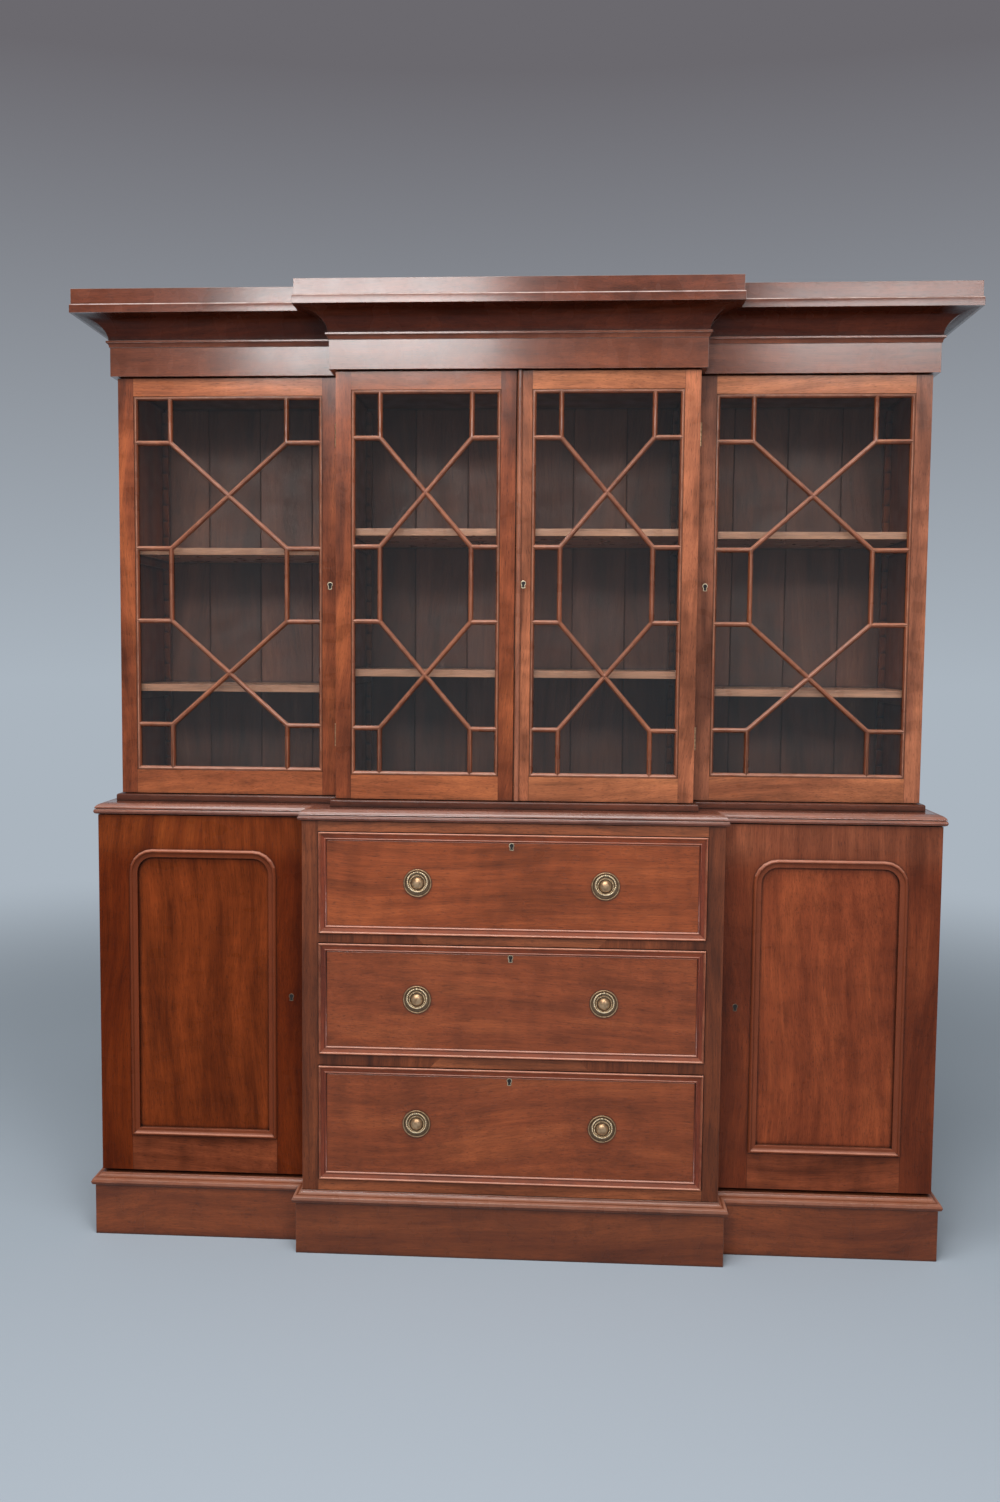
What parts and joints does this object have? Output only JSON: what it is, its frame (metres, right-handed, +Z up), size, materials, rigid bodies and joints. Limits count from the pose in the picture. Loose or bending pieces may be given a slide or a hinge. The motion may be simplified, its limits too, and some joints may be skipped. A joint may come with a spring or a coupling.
{
  "type": "breakfront bookcase",
  "caption": "Mahogany breakfront bookcase: glazed lattice doors over shelves, ring-handled drawers between panelled cupboards, coved cornice and plinth.",
  "frame": {"origin": "bottom centre of the bounding box, on the floor under the middle of the plinth", "axes": "+Z up, the doors and drawers face -Y, +X to the right as seen from the front"},
  "size_m": [1.975, 0.4714, 2.14],
  "materials": {
    "mahogany": "french polish",
    "dark_mahogany": "aged polish",
    "shelf_wood": "worn polish",
    "back_boards": "unpolished",
    "drawer_lining": "unpolished",
    "glass": "polished",
    "aged_brass": "worn lacquer"
  },
  "bodies": {
    "case": {"plinth": "dark_mahogany", "lower_bottom_board": "dark_mahogany", "lower_left_side": "dark_mahogany", "lower_right_side": "dark_mahogany", "lower_left_partition": "dark_mahogany", "lower_right_partition": "dark_mahogany", "lower_back": "back_boards", "drawer_face_frame": "mahogany", "left_cupboard_shelf": "dark_mahogany", "right_cupboard_shelf": "dark_mahogany", "waist_board": "mahogany", "upper_base_board": "mahogany", "upper_left_side": "dark_mahogany", "upper_right_side": "dark_mahogany", "upper_left_partition": "dark_mahogany", "upper_right_partition": "dark_mahogany", "upper_top_board": "dark_mahogany", "upper_back": "back_boards", "left_lower_bookshelf": "shelf_wood", "left_upper_bookshelf": "shelf_wood", "centre_lower_bookshelf": "shelf_wood", "centre_upper_bookshelf": "shelf_wood", "right_lower_bookshelf": "shelf_wood", "right_upper_bookshelf": "shelf_wood", "cornice": "mahogany"},
    "left_wing_door": {"left_wing_door_frame": "mahogany", "left_wing_glazing_bars": "mahogany", "left_wing_glass": "glass"},
    "left_centre_door": {"left_centre_door_frame": "mahogany", "left_centre_glazing_bars": "mahogany", "left_centre_glass": "glass"},
    "right_centre_door": {"right_centre_door_frame": "mahogany", "right_centre_glazing_bars": "mahogany", "right_centre_glass": "glass", "meeting_bead": "mahogany"},
    "right_wing_door": {"right_wing_door_frame": "mahogany", "right_wing_glazing_bars": "mahogany", "right_wing_glass": "glass"},
    "left_cupboard_door": {"left_cupboard_door_frame": "mahogany", "left_cupboard_panel": "mahogany"},
    "right_cupboard_door": {"right_cupboard_door_frame": "mahogany", "right_cupboard_panel": "mahogany"},
    "bottom_drawer": {"bottom_drawer_front": "mahogany", "bottom_drawer_box": "drawer_lining", "bottom_drawer_left_handle_plate": "aged_brass", "bottom_drawer_right_handle_plate": "aged_brass"},
    "middle_drawer": {"middle_drawer_front": "mahogany", "middle_drawer_box": "drawer_lining", "middle_drawer_left_handle_plate": "aged_brass", "middle_drawer_right_handle_plate": "aged_brass"},
    "top_drawer": {"top_drawer_front": "mahogany", "top_drawer_box": "drawer_lining", "top_drawer_left_handle_plate": "aged_brass", "top_drawer_right_handle_plate": "aged_brass"},
    "bottom_left_ring": {"bottom_drawer_left_handle_ring": "aged_brass"},
    "bottom_right_ring": {"bottom_drawer_right_handle_ring": "aged_brass"},
    "middle_left_ring": {"middle_drawer_left_handle_ring": "aged_brass"},
    "middle_right_ring": {"middle_drawer_right_handle_ring": "aged_brass"},
    "top_left_ring": {"top_drawer_left_handle_ring": "aged_brass"},
    "top_right_ring": {"top_drawer_right_handle_ring": "aged_brass"}
  },
  "joints": [
    {"name": "left_wing_door_hinge", "type": "hinge", "parent": "case", "child": "left_wing_door", "pos_m": [-0.9082, -0.0645, 1.02], "axis": [0, 0, -1], "range_deg": [0, 100]},
    {"name": "left_centre_door_hinge", "type": "hinge", "parent": "case", "child": "left_centre_door", "pos_m": [-0.4002, -0.1305, 1.02], "axis": [0, 0, -1], "range_deg": [0, 100]},
    {"name": "right_centre_door_hinge", "type": "hinge", "parent": "case", "child": "right_centre_door", "pos_m": [0.4002, -0.1305, 1.02], "axis": [0, 0, 1], "range_deg": [0, 100]},
    {"name": "right_wing_door_hinge", "type": "hinge", "parent": "case", "child": "right_wing_door", "pos_m": [0.9082, -0.0645, 1.02], "axis": [0, 0, 1], "range_deg": [0, 100]},
    {"name": "left_cupboard_door_hinge", "type": "hinge", "parent": "case", "child": "left_cupboard_door", "pos_m": [-0.9452, -0.1285, 0.1496], "axis": [0, 0, -1], "range_deg": [0, 100]},
    {"name": "right_cupboard_door_hinge", "type": "hinge", "parent": "case", "child": "right_cupboard_door", "pos_m": [0.9452, -0.1285, 0.1496], "axis": [0, 0, 1], "range_deg": [0, 100]},
    {"name": "bottom_drawer_slide", "type": "slide", "parent": "case", "child": "bottom_drawer", "axis": [0, -1, 0], "range_m": [0, 0.28]},
    {"name": "middle_drawer_slide", "type": "slide", "parent": "case", "child": "middle_drawer", "axis": [0, -1, 0], "range_m": [0, 0.28]},
    {"name": "top_drawer_slide", "type": "slide", "parent": "case", "child": "top_drawer", "axis": [0, -1, 0], "range_m": [0, 0.28]},
    {"name": "bottom_left_ring_swing", "type": "hinge", "parent": "bottom_drawer", "child": "bottom_left_ring", "pos_m": [-0.206, -0.2211, 0.3253], "axis": [-1, 0, 0], "range_deg": [0, 95]},
    {"name": "bottom_right_ring_swing", "type": "hinge", "parent": "bottom_drawer", "child": "bottom_right_ring", "pos_m": [0.206, -0.2211, 0.3253], "axis": [-1, 0, 0], "range_deg": [0, 95]},
    {"name": "middle_left_ring_swing", "type": "hinge", "parent": "middle_drawer", "child": "middle_left_ring", "pos_m": [-0.206, -0.2211, 0.60675], "axis": [-1, 0, 0], "range_deg": [0, 95]},
    {"name": "middle_right_ring_swing", "type": "hinge", "parent": "middle_drawer", "child": "middle_right_ring", "pos_m": [0.206, -0.2211, 0.60675], "axis": [-1, 0, 0], "range_deg": [0, 95]},
    {"name": "top_left_ring_swing", "type": "hinge", "parent": "top_drawer", "child": "top_left_ring", "pos_m": [-0.206, -0.2211, 0.8671], "axis": [-1, 0, 0], "range_deg": [0, 95]},
    {"name": "top_right_ring_swing", "type": "hinge", "parent": "top_drawer", "child": "top_right_ring", "pos_m": [0.206, -0.2211, 0.8671], "axis": [-1, 0, 0], "range_deg": [0, 95]}
  ]
}
